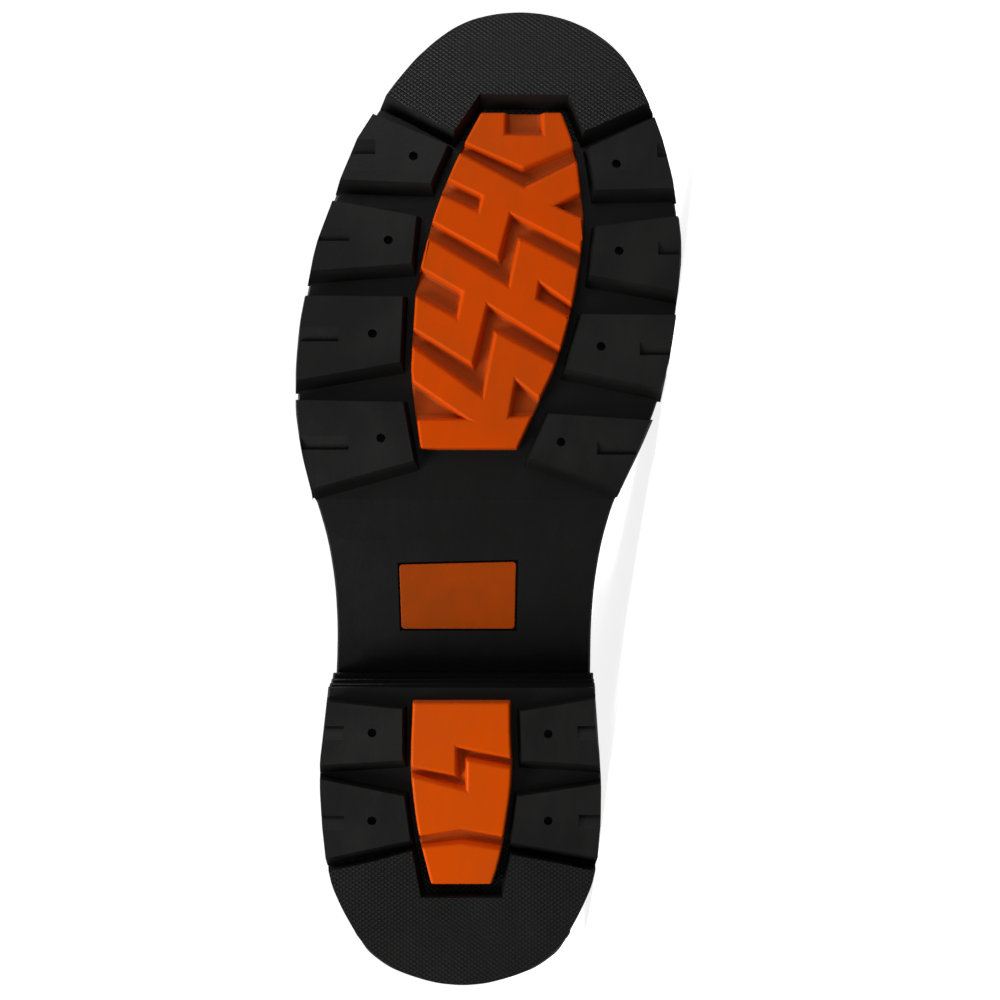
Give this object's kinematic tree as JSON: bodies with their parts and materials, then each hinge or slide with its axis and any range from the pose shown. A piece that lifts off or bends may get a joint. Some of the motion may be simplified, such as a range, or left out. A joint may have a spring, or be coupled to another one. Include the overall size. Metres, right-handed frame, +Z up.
{
  "type": "biker boot",
  "caption": "Pull-on biker boot for the right foot: black leather upper with a high shaft and buckled straps, on a black lugged rubber sole with orange tread inserts.",
  "frame": {"origin": "on the floor under the middle of the boot's box, with the boot lying on its inner side", "axes": "+X towards the toe, +Y from the sole towards the collar, +Z up, towards the boot's outer side"},
  "size_m": [0.308, 0.2874, 0.1169],
  "materials": {
    "black_rubber": "semi-matte moulded rubber",
    "orange_rubber": "satin moulded rubber",
    "black_leather": "oiled full grain leather",
    "insole_leather": "plain vegetable tanned leather",
    "steel": "nickel plated and lightly worn"
  },
  "bodies": {
    "root": {"outsole": "black_rubber", "forefoot_insert": "orange_rubber", "arch_plate": "orange_rubber", "heel_block": "black_rubber", "heel_insert": "orange_rubber", "midsole": "black_rubber", "welt": "black_rubber", "insole": "insole_leather", "upper": "black_leather", "counter": "black_leather", "backstay": "black_leather", "side_strip_inner": "black_leather", "side_strip_outer": "black_leather", "instep_strap": "black_leather", "instep_strap_end": "black_leather", "instep_keeper": "black_leather", "instep_buckle_frame": "steel", "instep_buckle_roller": "steel", "instep_buckle_prong": "steel", "top_strap": "black_leather", "top_strap_end": "black_leather", "top_keeper": "black_leather", "top_buckle_frame": "steel", "top_buckle_roller": "steel", "top_buckle_prong": "steel"}
  },
  "joints": []
}
